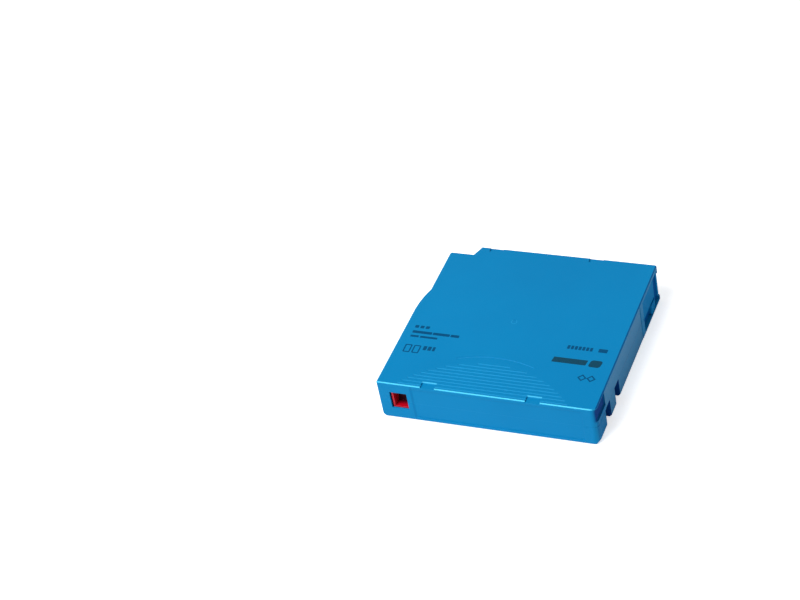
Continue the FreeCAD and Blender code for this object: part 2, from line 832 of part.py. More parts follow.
# ---------------------------------------------------------------- reel
def ring_teeth(inner, outer, root_z, tip_z, root_width, skipped):
    """Teeth of one ring, leaving out those at the angles where the legs pass."""
    teeth = []
    tooth = radial_tooth(inner, outer, root_z, tip_z, root_width, tooth_tip_width, tooth_tuck)
    for i in range(tooth_count):
        angle = legs_first_angle + i * tooth_pitch
        nearest = min(abs((angle - leg + 180) % 360 - 180) for leg in leg_angles)
        if nearest > skipped * tooth_pitch + 1e-6:
            teeth.append(around_reel(tooth, angle))
    return teeth


def make_reel_hub():
    """Hub with its lower flange, the drive teeth below and the brake teeth above the web."""
    hub = turned([
        (0, flange_bottom),
        (drive_ring_inner, flange_bottom),
        (drive_ring_inner, drive_root_z),
        (drive_ring_outer, drive_root_z),
        (drive_ring_outer, flange_bottom),
        (flange_radius - rim_bevel, flange_bottom),
        (flange_radius, flange_bottom + rim_bevel),
        (flange_radius, flange_top - rim_bevel),
        (flange_radius - rim_bevel, flange_top),
        (hub_radius, flange_top),
        (hub_radius, upper_flange_bottom),
        (hub_bore_radius + spigot_wall, upper_flange_bottom),
        (hub_bore_radius + spigot_wall, upper_flange_bottom - spigot_depth),
        (hub_bore_radius, upper_flange_bottom - spigot_depth),
        (hub_bore_radius, web_top),
        (0, web_top),
    ], reel_x, reel_y)
    teeth = ring_teeth(drive_ring_inner + tooth_end_margin, drive_ring_outer - tooth_end_margin,
                       drive_root_z, drive_root_z - drive_tooth_height, tooth_root_width,
                       teeth_left_out_each_side)
    teeth += ring_teeth(brake_ring_inner, brake_ring_outer, web_top, web_top + brake_tooth_height,
                        brake_tooth_root_width, -1)
    hub = hub.multiFuse(teeth)
    for angle in leg_angles:
        hole = rod(leg_radius + leg_hole_gap, reel_x + leg_circle_radius, reel_y,
                   drive_root_z - 1, web_top + tooth_tuck)
        hub = hub.cut(around_reel(hole, angle))
    return hub.removeSplitter()


def make_upper_flange():
    """Top flange, with the spigot that centres it in the hub."""
    return turned([
        (hub_bore_radius, upper_flange_bottom - spigot_depth),
        (hub_bore_radius + spigot_wall, upper_flange_bottom - spigot_depth),
        (hub_bore_radius + spigot_wall, upper_flange_bottom),
        (flange_radius - rim_bevel, upper_flange_bottom),
        (flange_radius, upper_flange_bottom + rim_bevel),
        (flange_radius, upper_flange_top - rim_bevel),
        (flange_radius - rim_bevel, upper_flange_top),
        (hub_bore_radius, upper_flange_top),
    ], reel_x, reel_y)


def make_reel_plate():
    """Steel ring that the drive's magnet holds."""
    return tube(plate_inner_radius, drive_ring_inner - plate_rim_gap, reel_x, reel_y,
                flange_bottom - plate_thickness, flange_bottom)


def make_tape_pack():
    """The wound tape."""
    return tube(hub_radius, tape_stack_radius, reel_x, reel_y, tape_bottom, tape_top)


# ---------------------------------------------------------------- brake
def make_brake_button():
    """Toothed disc with a keyed sleeve that slides on the case's post."""
    brake = rod(disc_radius, reel_x, reel_y, disc_bottom, disc_top)
    brake = brake.fuse(rod(sleeve_radius, reel_x, reel_y, disc_top, sleeve_top))
    brake = brake.fuse(rod(brake_nose_radius, reel_x, reel_y, disc_bottom - brake_nose_height,
                           disc_bottom))
    half_pitch = tooth_pitch / 2
    teeth = ring_teeth(brake_ring_inner, brake_ring_outer, disc_bottom,
                       disc_bottom - brake_tooth_height, brake_tooth_root_width, -1)
    brake = brake.multiFuse([around_reel(tooth, half_pitch) for tooth in teeth])
    brake = brake.cut(rod(sleeve_bore_radius, reel_x, reel_y, disc_top, sleeve_top + 1))
    slot_half = key_width / 2 + running_gap
    slot_reach = post_radius + key_reach + running_gap
    for i in range(key_count):
        slot = box(reel_x, reel_x + slot_reach, reel_y - slot_half, reel_y + slot_half,
                   disc_top, sleeve_top + 1)
        brake = brake.cut(around_reel(slot, legs_first_angle + i * 360.0 / key_count))
    return brake.removeSplitter()


def make_brake_spring():
    """Coil spring between the roof and the brake's disc."""
    length = roof_z - disc_top - 2 * running_gap / 3
    return coil(V(reel_x, reel_y, disc_top + running_gap / 3), UP, brake_spring_radius,
                brake_spring_wire, brake_spring_turns, length)


def make_release_pad():
    """Pad between the hub's web and the brake, with three legs through the web."""
    bottom = web_top + mesh_end_gap
    top = bottom + pad_thickness
    pad = rod(pad_hub_radius, reel_x, reel_y, bottom, top)
    parts = []
    for angle in leg_angles:
        arm = box(reel_x, reel_x + leg_circle_radius, reel_y - leg_radius, reel_y + leg_radius,
                  bottom, top)
        end = rod(leg_radius, reel_x + leg_circle_radius, reel_y, bottom, top)
        leg = rod(leg_radius, reel_x + leg_circle_radius, reel_y, leg_tip_height, bottom)
        parts += [around_reel(piece, angle) for piece in (arm, end, leg)]
    return pad.multiFuse(parts).removeSplitter()


# ---------------------------------------------------------------- door
def door_panel(bottom, height):
    """Door's panel: joggled inwards below, where it leaves a channel along the case's side."""
    return prism([
        (door_inner_x, door_start, bottom + height),
        (door_outer_x, door_start, bottom + height),
        (door_outer_x, door_start, channel_top),
        (channel_x, door_start, channel_top),
        (channel_x, door_start, bottom),
        (foot_inner_x, door_start, bottom),
        (foot_inner_x, door_start, channel_top + door_thickness),
        (door_inner_x, door_start, channel_top + door_thickness),
    ], V(0, nose_start - door_start, 0))


def door_nose(bottom, height):
    """Door's nose, thickened inside, with a catch in its face. Its tip fills the case's corner gap."""
    catch_x = door_outer_x - catch_depth
    lip_start = door_tip - catch_lip
    nose = prism([
        (door_outer_x, nose_start, bottom),
        (catch_x, nose_start + catch_ramp, bottom),
        (catch_x, lip_start - catch_depth, bottom),
        (door_outer_x, lip_start, bottom),
        (door_outer_x, door_tip - door_tip_bevel, bottom),
        (door_outer_x - door_tip_bevel, door_tip, bottom),
        (nose_inner_x, door_tip, bottom),
        (nose_inner_x, nose_pad_start, bottom),
        (door_inner_x, nose_pad_start - nose_pad_thickness, bottom),
        (door_inner_x, nose_start, bottom),
    ], V(0, 0, height))
    for z0, z1 in ((0, corner_gap_bottom + running_gap), (corner_gap_top - running_gap, case_height)):
        nose = nose.cut(box(nose_inner_x - 1, half_width, door_end, half_depth, z0, z1))
    return nose


def make_door():
    """Sliding door: panel, nose, the lug that a drive pushes, and the spring's block and peg."""
    bottom = floor_thickness + door_edge_gap
    height = roof_z - door_edge_gap - bottom
    root_x = channel_x - door_thickness / 2
    lug_start = half_depth - lug_setback
    lug_end = lug_start + lug_length
    lug_end_x = door_outer_x + lug_proud
    lug = prism([
        (root_x, lug_start, bottom),
        (lug_end_x - lug_bevel, lug_start, bottom),
        (lug_end_x, lug_start + lug_bevel, bottom),
        (lug_end_x, lug_end - lug_bevel, bottom),
        (lug_end_x - lug_bevel, lug_end, bottom),
        (root_x, lug_end, bottom),
    ], V(0, 0, lug_height))
    block_half = door_spring_reach + spring_block_margin
    block_end = door_start + spring_block_length
    block = box(door_spring_x - door_spring_reach, door_inner_x + door_thickness / 2,
                door_start, block_end, door_spring_z - block_half, door_spring_z + block_half)
    peg = Part.makeCylinder(spring_peg_radius, spring_peg_length + spring_block_length / 2,
                            V(door_spring_x, block_end - spring_block_length / 2, door_spring_z),
                            V(0, -1, 0))
    pieces = [door_nose(bottom, height), lug, block, peg]
    return door_panel(bottom, height).multiFuse(pieces).removeSplitter()


def make_door_spring():
    """Coil spring between the door and the stop moulded on the lower half."""
    start = spring_stop_y + running_gap / 3
    length = door_start - spring_stop_y - 2 * running_gap / 3
    return coil(V(door_spring_x, start, door_spring_z), V(0, 1, 0), door_spring_radius,
                door_spring_wire, door_spring_turns, length)


# ---------------------------------------------------------------- leader pin and tape
def make_leader_pin():
    """Turned steel pin with a head, a neck and a collar at each end."""
    z1 = pin_bottom + pin_head_height
    z2 = z1 + pin_neck_height
    z3 = pin_top - pin_head_height
    z4 = z3 - pin_neck_height
    return turned([
        (0, pin_bottom),
        (pin_head_radius, pin_bottom),
        (pin_head_radius, z1),
        (pin_neck_radius, z1),
        (pin_neck_radius, z2),
        (pin_collar_radius, z2),
        (pin_collar_radius, shaft_bottom),
        (pin_shaft_radius, shaft_bottom),
        (pin_shaft_radius, shaft_top),
        (pin_collar_radius, shaft_top),
        (pin_collar_radius, z4),
        (pin_neck_radius, z4),
        (pin_neck_radius, z3),
        (pin_head_radius, z3),
        (pin_head_radius, pin_top),
        (0, pin_top),
    ], pin_x, pin_y)


def tape_line():
    """Start and end of the free tape: tangent to the pack, then to the clip on the pin."""
    pack_offset = tape_stack_radius + tape_to_pack_gap
    pin_offset = pin_shaft_radius
    dx = pin_x - reel_x
    dy = pin_y - reel_y
    distance = math.hypot(dx, dy)
    bearing = math.atan2(dy, dx)
    tilt = math.acos((pack_offset - pin_offset) / distance)
    normal = V(math.cos(bearing - tilt), math.sin(bearing - tilt), 0)
    start = V(reel_x, reel_y, tape_bottom) + normal * pack_offset
    end = V(pin_x, pin_y, tape_bottom) + normal * pin_offset
    return start, end, normal


def make_tape_leader():
    """The stretch of tape from the pack to the pin."""
    start, end, normal = tape_line()
    outer = normal * tape_thickness
    wire = Part.makePolygon([start, end, end + outer, start + outer, start])
    return Part.Face(wire).extrude(V(0, 0, tape_width))


def make_leader_clip():
    """C-shaped clip that grips the tape's end on the pin, open where the tape leaves."""
    start, end, normal = tape_line()
    z0 = shaft_bottom + clip_end_gap
    z1 = shaft_top - clip_end_gap
    ring = tube(pin_shaft_radius, clip_radius, pin_x, pin_y, z0, z1)
    mouth = Part.makeCylinder(clip_radius + 1, z1 - z0 + 2, V(pin_x, pin_y, z0 - 1), UP, clip_gap_angle)
    leaving = math.degrees(math.atan2(normal.y, normal.x))
    mouth.rotate(V(pin_x, pin_y, 0), UP, leaving - clip_gap_ahead)
    return ring.cut(mouth)


def make_pin_retainer():
    """Bent spring strip on the far wall, with an arm that bears on each head of the pin."""
    wall_y = inner_back_y - retainer_wall_gap
    left = pin_x - retainer_width / 2
    right = pin_x + retainer_width / 2
    low = pin_bottom
    high = pin_top
    tip_y = pin_y + pin_head_radius + retainer_arm_gap
    inner_y = wall_y - retainer_thickness
    rise = retainer_thickness
    strip = prism([
        (left, wall_y, low),
        (left, tip_y, low),
        (left, tip_y, low + rise),
        (left, inner_y, low + rise),
        (left, inner_y, high - rise),
        (left, tip_y, high - rise),
        (left, tip_y, high),
        (left, wall_y, high),
    ], V(right - left, 0, 0))
    return strip


# ---------------------------------------------------------------- cartridge memory
def board_frame(along, out):
    """Point on the sloping rest, along it from its foot and out from its surface."""
    y = board_foot_y + (out - along) / math.sqrt(2)
    z = floor_thickness + (out + along) / math.sqrt(2)
    return y, z


def sloping_block(x0, x1, along0, along1, out0, out1):
    """Block that lies on the 45 degree rest."""
    corners = [board_frame(along0, out0), board_frame(along1, out0),
               board_frame(along1, out1), board_frame(along0, out1)]
    return prism([(x0, y, z) for y, z in corners], V(x1 - x0, 0, 0))


def make_memory_board():
    """Board with the antenna of the cartridge memory."""
    return sloping_block(board_left, board_left + board_length, board_foot_gap,
                         board_foot_gap + board_width, 0, board_thickness)


def make_memory_chip():
    """Potted chip on the board's inner face."""
    middle = board_left + board_length / 2
    low = board_foot_gap + (board_width - chip_width) / 2
    chip = sloping_block(middle - chip_length / 2, middle + chip_length / 2, low, low + chip_width,
                         board_thickness, board_thickness + chip_height)
    top = max(chip.Faces, key=lambda face: face.CenterOfMass.y + face.CenterOfMass.z)
    return chip.makeChamfer(chip_corner, top.Edges)


# ---------------------------------------------------------------- export
nodes = {
    "lower_shell": make_lower_shell,
    "upper_shell": make_upper_shell,
    "case_screws": make_case_screws,
    "write_protect_slider": make_write_protect_slider,
    "reel_hub": make_reel_hub,
    "upper_flange": make_upper_flange,
    "reel_plate": make_reel_plate,
    "tape_pack": make_tape_pack,
    "brake_button": make_brake_button,
    "brake_spring": make_brake_spring,
    "release_pad": make_release_pad,
    "door": make_door,
    "door_spring": make_door_spring,
    "leader_pin": make_leader_pin,
    "leader_clip": make_leader_clip,
    "pin_retainer": make_pin_retainer,
    "tape_leader": make_tape_leader,
    "memory_board": make_memory_board,
    "memory_chip": make_memory_chip,
}
for name, make in nodes.items():
    shape = make()
    shape.exportStep("parts/" + name + ".step")
    print(name, len(shape.Solids), round(shape.Volume, 1), shape.isValid())
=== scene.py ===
"""Half-inch single-reel data tape cartridge: its finishes, springs and printed marks over the CAD frame.

The frame is in metres. +X runs along the label face, +Y from the label face to the face that enters
a drive, +Z up to the printed face. Sizes written here are in millimetres and pass through MM.
"""
import json
import math
from functools import partial

import bmesh
import bpy
from mathutils import Matrix, Vector


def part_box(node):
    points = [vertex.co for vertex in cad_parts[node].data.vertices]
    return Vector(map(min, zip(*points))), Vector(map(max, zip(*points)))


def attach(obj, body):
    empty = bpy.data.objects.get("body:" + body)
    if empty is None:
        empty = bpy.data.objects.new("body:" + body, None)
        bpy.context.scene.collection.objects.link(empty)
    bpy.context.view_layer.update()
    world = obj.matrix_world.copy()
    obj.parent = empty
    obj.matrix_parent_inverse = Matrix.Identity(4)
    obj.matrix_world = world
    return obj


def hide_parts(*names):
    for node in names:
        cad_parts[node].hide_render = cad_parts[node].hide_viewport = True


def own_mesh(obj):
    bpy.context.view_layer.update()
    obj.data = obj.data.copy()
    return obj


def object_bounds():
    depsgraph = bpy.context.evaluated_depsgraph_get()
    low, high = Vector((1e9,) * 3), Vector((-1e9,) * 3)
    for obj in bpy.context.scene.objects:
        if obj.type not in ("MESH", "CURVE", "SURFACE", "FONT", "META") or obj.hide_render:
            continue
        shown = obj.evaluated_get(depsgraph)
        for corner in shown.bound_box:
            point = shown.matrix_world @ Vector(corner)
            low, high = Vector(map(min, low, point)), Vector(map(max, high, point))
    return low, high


MM = 0.001

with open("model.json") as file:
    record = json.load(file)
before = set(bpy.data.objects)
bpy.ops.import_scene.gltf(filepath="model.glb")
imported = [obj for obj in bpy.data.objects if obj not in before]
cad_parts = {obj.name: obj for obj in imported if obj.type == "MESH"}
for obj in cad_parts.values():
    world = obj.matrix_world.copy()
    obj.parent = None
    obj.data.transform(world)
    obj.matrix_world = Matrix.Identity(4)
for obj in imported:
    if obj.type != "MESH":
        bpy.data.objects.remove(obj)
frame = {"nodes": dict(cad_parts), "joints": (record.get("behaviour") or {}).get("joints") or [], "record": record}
cad_low, cad_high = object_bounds()
cad_nodes = frame["nodes"]
joints = {joint["name"]: joint for joint in frame["joints"]}
openings = frame["record"]["physics"]["openings"]
middle = (cad_low + cad_high) / 2
reel_low, reel_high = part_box("upper_flange")
reel_centre = (reel_low + reel_high) / 2

# ---------------------------------------------------------------- camera
view_azimuth = 28.66
view_elevation = 38.94
view_distance = 1001.4
view_roll = 12.335
view_lens = 92.3
aim_left_of_middle = 69.0
aim_behind_middle = 18.5
aim_below_middle = 0.92

# ---------------------------------------------------------------- studio
floor_size = 6000.0
floor_gap = 0.05
key_azimuth = -31.0
key_elevation = 54.0
key_distance = 1200.0
key_size = 620.0
key_power = 13.2
fill_strength = 0.36
backdrop_strength = 1.0
floor_glow = 0.6
floor_glow_in_gloss = 0.1

# ---------------------------------------------------------------- colours of the blue case
# painted highlight on the case's edges and brow arc; also the real colour of the gate mark
highlight_and_gate_blue = "#2FA6DC"
# painted highlight on the bevels and the grooves' front walls
bevel_highlight_blue = "#50C8F0"
# painted sheen on the smooth side flats
sheen_blue = "#1C7DB1"
# painted shade inside the gripper notches
deep_blue = "#001A80"
gloss_tint = "#7CE6FF"

# ---------------------------------------------------------------- places on the case
side_skin = 0.45
side_flat_start = 13.2
side_flat_right = 58.8
side_flat_left = 37.8
side_flat_top = 1.1
inset_from_front = 0.6
inset_low = 13.5
inset_drop = 0.9
inset_deep = 0.95
inset_blur = 1.2
polish_depth = 0.75
polish_reach = 0.6
bevel_polish = 0.4
grip_reach = 26.0
stack_notch_spacing = 50.6
stack_notch_half_width = 3.55
stack_notch_reach = 4.2
gripper_notch_skin = 0.15
parting_height = 10.5
parting_shadow = 0.35
gate_radius = 1.3
gate_stroke = 0.25
gate_depth = 0.1
ramp_start = 16.4
ramp_end = 17.4
brow_radius = 52.5
brow_from_left = 50.9
brow_from_front = 25.4
brow_half_width = 0.4
brow_depth = 0.02
door_hollow = 1.1

# ---------------------------------------------------------------- how a face is turned, as cosines
edge_flat = 0.995
edge_turned = 0.90
past_upright = (0.55, 0.65)
short_of_level = (0.78, 0.86)
wall_turn = 0.3
well_turned = 0.5

# ---------------------------------------------------------------- strength of each shade and shine
# from here to the gate's: shares of painted sheen, painted shade and painted highlights; the gate's is a real mark
# of the mould
flat_sheen = 0.75
block_shade = 0.25
notch_shade = 0.75
ramp_shade = 0.15
thin_shade = 0.6
groove_back_shade = 0.3
groove_front_shine = 0.13
notch_ramp_shine = 0.7
# painted highlight on rounded edges, less in the grooves and on the right side, and on the brow arc
edge_highlight = 0.42
highlight_in_grooves = 0.26
highlight_at_right = 0.2
brow_highlight = 0.45
gate_wear = 0.6
satin_spread = 0.05
flat_smoothing = 0.1
bevel_smoothing = 0.3
hollow_dulling = 0.4

# ---------------------------------------------------------------- other finishes
edge_round = 0.12
edge_samples = 6
shade_levels = 4
noise_span = (0.3, 0.7)  # most of a noise texture's values lie between these
grain_span = (0.25, 0.75)
melt_flow = 38.0
tool_grain = 0.45
recess_shade = "#1E0016"
recess_start = 1.4
recess_end = 4.2
recess_most = 0.97
recess_wall_light = 0.85
acetal_patch = 3.0
acetal_grain = 0.3
# share of painted highlight on the acetal's rounded edges
highlight_on_edges = 0.5
glass_fibre = 0.8
winding_pitch = 0.32
wave_radians = 20  # the Wave texture's phase in a metre at a scale of 1
spring_mark = 0.25
mill_mark = 0.12
board_thickness = 0.8
board_weave = 0.5
aerial_pitch = 0.6
aerial_track = 0.26
aerial_band = 2.4
resin_filler = 0.15
ink_over_blue = "#0B5780"
ink_patch = 0.6
ink_patch_span = (0.35, 0.75)
ink_thin_most = 0.6
paper_tooth = 2.0

# ---------------------------------------------------------------- springs
brake_wire = 0.9
brake_coils = 5
door_wire = 0.5
door_coils = 13
steps_a_turn = 36
wire_sides = 10

# ---------------------------------------------------------------- printed marks
ink_thickness = 0.02
ink_corner = 0.25
corner_steps = 4
frame_width = 3.5
frame_pitch = 4.4
frame_stroke = 0.6
diamond_reach = 2.2
diamond_hole = 1.3
bold_lean = 0.15
print_left = cad_low.x / MM + 4.9
print_right = cad_high.x / MM - 5.7
print_front = round(cad_low.y / MM, 3)


# ---------------------------------------------------------------- colours and nodes
def linear(hex_colour):
    """sRGB hex colour as linear red, green, blue and alpha."""
    channels = [int(hex_colour[i : i + 2], 16) / 255 for i in (1, 3, 5)]
    return [c / 12.92 if c <= 0.04045 else ((c + 0.055) / 1.055) ** 2.4 for c in channels] + [1.0]


def shade_of(hex_colour):
    """The same colour a few levels darker, for the flow of the melt and the marks of a tool."""
    channels = [int(hex_colour[i : i + 2], 16) - shade_levels for i in (1, 3, 5)]
    return "#" + "".join(f"{max(channel, 0):02x}" for channel in channels)


def per_metre(size):
    """Texture scale that repeats about once in a size given in millimetres."""
    return 1.0 / (size * MM)


def add_node(tree, kind, inputs=(), out=0, **settings):
    """Adds a shader node with its settings and links, and gives one of its outputs, or all for None.
    Inputs come in the node's own order or by socket; each is a value or the output that feeds it."""
    node = tree.nodes.new("ShaderNode" + kind)
    for name, value in settings.items():
        setattr(node, name, value)
    for socket, value in inputs.items() if isinstance(inputs, dict) else enumerate(inputs):
        if isinstance(value, bpy.types.NodeSocket):
            tree.links.new(value, node.inputs[socket])
        else:
            node.inputs[socket].default_value = value
    return node.outputs if out is None else node.outputs[out]


def new_material(name, **sockets):
    """A material with one Principled shader, and the function that adds nodes to it. The shader's sockets
    are given by name with spaces as underscores."""
    material = bpy.data.materials.new(name)
    material.use_nodes = True
    shader = material.node_tree.nodes["Principled BSDF"]
    for socket, value in sockets.items():
        shader.inputs[socket.replace("_", " ")].default_value = value
    return material, partial(add_node, material.node_tree)


def finished(material, **outputs):
    """The material, after its shader's sockets are fed by these outputs."""
    tree = material.node_tree
    shader = tree.nodes["Principled BSDF"]
    for socket, output in outputs.items():
        tree.links.new(output, shader.inputs[socket.replace("_", " ")])
    return material


# ---------------------------------------------------------------- where a finish lies
def coordinates(add):
    """X, Y and Z of the point on the surface, in the frame's metres."""
    return add("SeparateXYZ", [add("TexCoord", out="Object")], None)


def facing(add, axis):
    """How far a face looks along an axis of the frame."""
    return add("SeparateXYZ", [add("NewGeometry", out="True Normal")], axis)


def all_of(add, *shares):
    """One where every share is one."""
    result = shares[0]
    for share in shares[1:]:
        result = add("Math", [result, share], operation="MULTIPLY")
    return result


def any_of(add, *shares):
    """The largest of the shares."""
    result = shares[0]
    for share in shares[1:]:
        result = add("Math", [result, share], operation="MAXIMUM")
    return result


def within(add, value, low, high):
    """One where a value lies between two others."""
    above = add("Math", [value, low], operation="GREATER_THAN")
    return all_of(add, above, add("Math", [value, high], operation="LESS_THAN"))


def off_by(add, value, aim):
    """How far a value is from what it is held against."""
    return add("Math", [add("Math", [value, aim], operation="SUBTRACT")], operation="ABSOLUTE")


def from_axis(add, x, y):
    """Distance from the upright line through a point of the frame."""
    place = coordinates(add)
    level = add("CombineXYZ", [place["X"], place["Y"], 0.0])
    return add("VectorMath", [level, (x, y, 0.0)], "Value", operation="DISTANCE")


def highlighted_edges(add, normal):
    """One on a rounded edge, nothing on the flat."""
    flat = add("NewGeometry", out="Normal")
    agreement = add("VectorMath", [normal, flat], "Value", operation="DOT_PRODUCT")
    return add("MapRange", [agreement, edge_flat, edge_turned])


def by_right_edge(add):
    """One on the outermost strip of the right side."""
    return add("Math", [coordinates(add)["X"], cad_high.x - polish_reach * MM], operation="GREATER_THAN")


def side_flats(add):
    """One on the two shallow flats along the sides, which the tool leaves smoother than the rest, and which also
    get a painted sheen.
    """
    place = coordinates(add)
    start = cad_low.y + side_flat_start * MM
    right = add("Math", [place["X"], cad_high.x - side_skin * MM], operation="GREATER_THAN")
    left = add("Math", [place["X"], cad_low.x + side_skin * MM], operation="LESS_THAN")
    on_right = all_of(add, right, within(add, place["Y"], start, start + side_flat_right * MM))
    on_left = all_of(add, left, within(add, place["Y"], start, start + side_flat_left * MM))
    below_lip = add("Math", [place["Z"], cad_high.z - side_flat_top * MM], operation="LESS_THAN")
    return all_of(add, any_of(add, on_right, on_left), below_lip)


def grip_inset(add):
    """One inside the grip inset of the right side, fading out over its rim."""
    place = coordinates(add)
    blur = inset_blur * MM
    deep = cad_high.x - inset_deep * MM
    spans = (
        ("Y", cad_low.y + inset_from_front * MM, cad_low.y + side_flat_start * MM),
        ("Z", cad_low.z + inset_low * MM, cad_high.z - inset_drop * MM),
    )
    share = add("MapRange", [place["X"], deep - blur, deep])
    for axis, first, last in spans:
        past_first = add("MapRange", [place[axis], first - blur / 2, first + blur / 2])
        before_last = add("MapRange", [place[axis], last - blur / 2, last + blur / 2, 1.0, 0.0])
        share = all_of(add, share, past_first, before_last)
    return share


def case_hollows(add):
    """Painted shade: one inside the grip inset; a little on the block before it."""
    ahead = add("Math", [coordinates(add)["Y"], cad_low.y + side_flat_start * MM], operation="LESS_THAN")
    return any_of(add, grip_inset(add), all_of(add, by_right_edge(add), ahead, block_shade))


def door_hollows(add):
    """Painted shade: one on the door's faces that lie deeper than its outer skin and look outwards."""
    deep = add("Math", [coordinates(add)["X"], cad_high.x - door_hollow * MM], operation="LESS_THAN")
    return all_of(add, deep, add("Math", [facing(add, "X"), well_turned], operation="GREATER_THAN"))


def gripper_notches(add):
    """One inside the gripper notches of both sides, whose deep walls get painted shade and are duller."""
    place = coordinates(add)
    from_middle = add("Math", [place["X"]], operation="ABSOLUTE")
    reach = gripper_notch_skin * MM
    notches = []
    for opening in openings:
        if opening["name"].startswith("right_gripper_notch"):
            low, high = (Vector(corner) for corner in opening["box_m"])
            across = within(add, from_middle, low.x - reach, cad_high.x - reach)
            along = within(add, place["Y"], low.y - reach, high.y + reach)
            below = add("Math", [place["Z"], high.z + reach], operation="LESS_THAN")
            notches.append(all_of(add, across, along, below))
    return any_of(add, *notches)


def grip_grooves(add):
    """One over the grooved field of the printed face, away from its edges and the stacking notches."""
    place = coordinates(add)
    edge = polish_reach * MM
    from_notch = off_by(add, off_by(add, place["X"], reel_centre.x), stack_notch_spacing / 2 * MM)
    beside = add("Math", [from_notch, stack_notch_half_width * MM], operation="LESS_THAN")
    before = add("Math", [place["Y"], cad_low.y + stack_notch_reach * MM], operation="LESS_THAN")
    clear = add("Math", [1.0, all_of(add, beside, before)], operation="SUBTRACT")
    across = within(add, place["X"], cad_low.x + edge, cad_high.x - edge)
    along = within(add, place["Y"], cad_low.y + edge, cad_low.y + grip_reach * MM)
    return all_of(add, across, along, clear)


def leaning_faces(add):
    """One near the printed face on the faces that lean half way between level and upright."""
    lean = facing(add, "Z")
    off_upright = add("MapRange", [lean, *past_upright])
    off_level = add("MapRange", [lean, *short_of_level, 1.0, 0.0])
    height = coordinates(add)["Z"]
    near_top = add("Math", [height, cad_high.z - polish_depth * MM], operation="GREATER_THAN")
    return all_of(add, off_upright, off_level, near_top)


def groove_walls(add):
    """The grooves' walls: those that look to the label face, which get a painted highlight, then those that look
    away from it, which get painted shade.
    """
    walls = all_of(add, leaning_faces(add), grip_grooves(add))
    along = facing(add, "Y")
    towards = add("Math", [along, -wall_turn], operation="LESS_THAN")
    away = add("Math", [along, wall_turn], operation="GREATER_THAN")
    return all_of(add, walls, towards), all_of(add, walls, away)


def polished_bevels(add):
    """One on the bevel round the printed face, but for its right side, and less on the notches' ramps. There it is
    smoother and also painted paler: a painted highlight.
    """
    place = coordinates(add)
    duller = any_of(add, grip_grooves(add), by_right_edge(add))
    elsewhere = add("Math", [1.0, duller], operation="SUBTRACT")
    upper = add("Math", [place["Z"], cad_high.z - bevel_polish * MM], operation="GREATER_THAN")
    on_ramp = add("Math", [place["Y"], cad_low.y + polish_reach * MM], operation="GREATER_THAN")
    shine = add("MapRange", [on_ramp, 0.0, 1.0, 1.0, notch_ramp_shine])
    return all_of(add, leaning_faces(add), elsewhere, upper, shine)


def brow_line(add):
    """One along the shallow arc behind the grooves, painted brighter than the face: a painted highlight."""
    centre_x = cad_low.x + brow_from_left * MM
    centre_y = cad_low.y + (brow_from_front - brow_radius) * MM
    off = off_by(add, from_axis(add, centre_x, centre_y), brow_radius * MM)
    on_arc = add("Math", [off, brow_half_width * MM], operation="LESS_THAN")
    low, high = cad_high.z - polish_depth * MM, cad_high.z - brow_depth * MM
    return all_of(add, on_arc, within(add, coordinates(add)["Z"], low, high))


def gate_mark(add):
    """One on the thin ring over the reel's axis, where the melt entered the tool."""
    off = off_by(add, from_axis(add, reel_centre.x, reel_centre.y), gate_radius * MM)
    ring = add("MapRange", [off, 0.0, gate_stroke * MM, 1.0, 0.0])
    on_face = add("Math", [coordinates(add)["Z"], cad_high.z - gate_depth * MM], operation="GREATER_THAN")
    return all_of(add, ring, on_face)


def label_ramp(add):
    """One on the ramp at the left end of the label's recess, which gets painted shade."""
    place = coordinates(add)
    on_ramp = within(add, place["X"], cad_low.x + ramp_start * MM, cad_low.x + ramp_end * MM)
    front = add("Math", [place["Y"], cad_low.y + polish_reach * MM], operation="LESS_THAN")
    outward = add("Math", [facing(add, "Y"), -well_turned], operation="LESS_THAN")
    return all_of(add, on_ramp, front, outward)


def thin_shadows(add):
    """One along the right side in the parting line and on the lip's bevel, where both stay in shade."""
    off = off_by(add, coordinates(add)["Z"], cad_low.z + parting_height * MM)
    line = add("MapRange", [off, parting_shadow / 4 * MM, parting_shadow / 2 * MM, 1.0, 0.0])
    return all_of(add, any_of(add, line, leaning_faces(add)), by_right_edge(add))


def slider_recess(add):
    """One on all of the slider that lies deep behind its front, as inside its finger recess, where little
    light comes in; less on the recess's left wall."""
    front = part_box("write_protect_slider")[0].y
    depth = [coordinates(add)["Y"], front + recess_start * MM, front + recess_end * MM, 0.0, recess_most]
    left_wall = add("Math", [facing(add, "X"), well_turned], operation="GREATER_THAN")
    dim = add("Math", [left_wall, -recess_wall_light, 1.0], operation="MULTIPLY_ADD")
    return all_of(add, add("MapRange", depth), dim)


